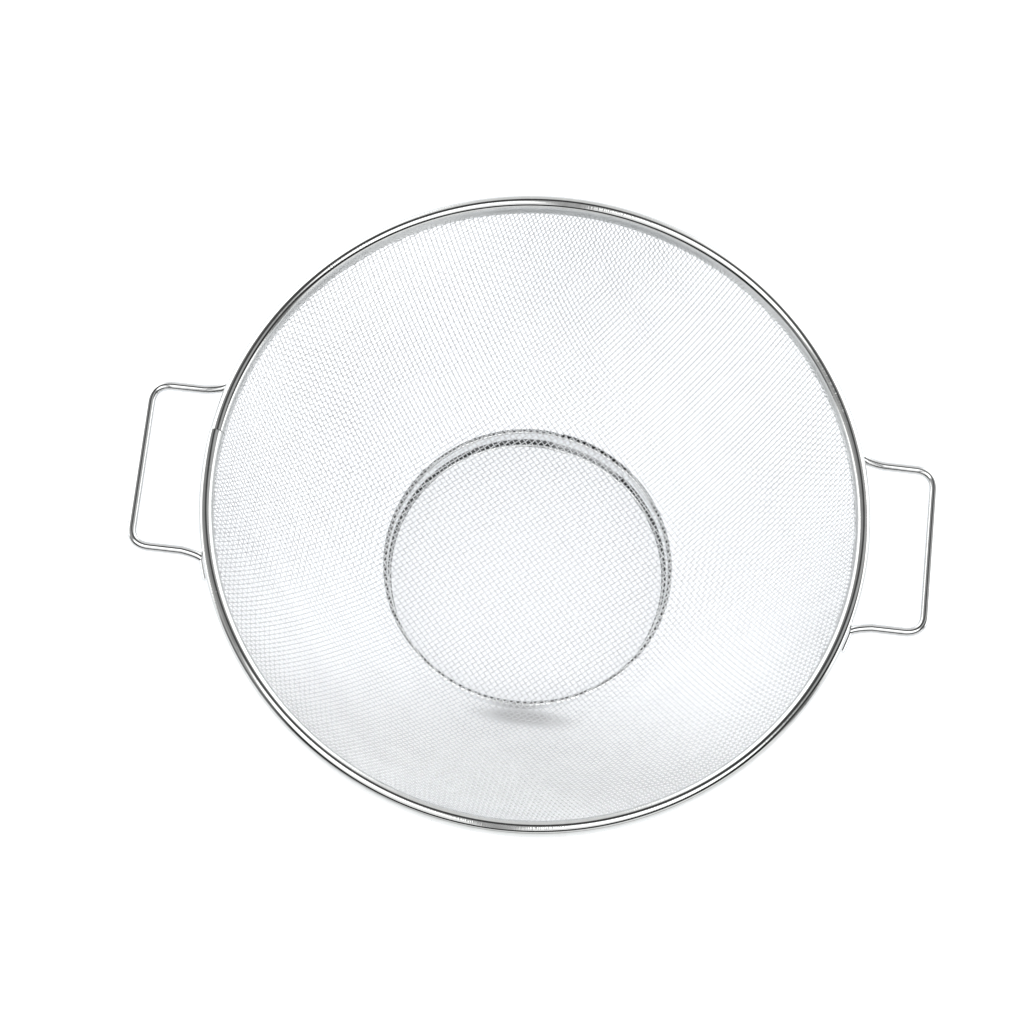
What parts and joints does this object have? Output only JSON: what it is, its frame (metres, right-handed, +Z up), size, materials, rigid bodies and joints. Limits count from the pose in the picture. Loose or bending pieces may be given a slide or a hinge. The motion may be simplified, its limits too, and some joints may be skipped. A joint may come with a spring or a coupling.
{
  "type": "mesh strainer",
  "caption": "Shallow woven wire strainer bowl with a rolled rim band, a loop handle on each side and a strip foot ring under its flat floor.",
  "frame": {"origin": "on the bowl's axis, at the table under the foot ring", "axes": "+Z up along the bowl's axis, out of its mouth; +X through the middle of the right handle"},
  "size_m": [0.3586, 0.3, 0.1091],
  "materials": {
    "woven_steel": "bright drawn stainless wire, woven",
    "polished_band": "mirror polished stainless strip",
    "plain_wire": "plain drawn steel wire, hidden in the band",
    "foot_strip": "polished stainless strip",
    "polished_wire": "polished stainless wire"
  },
  "bodies": {
    "root": {"mesh_bowl": "woven_steel", "rim_band": "polished_band", "rim_core_wire": "plain_wire", "foot_ring": "foot_strip", "handle_right": "polished_wire", "handle_left": "polished_wire"}
  },
  "joints": []
}
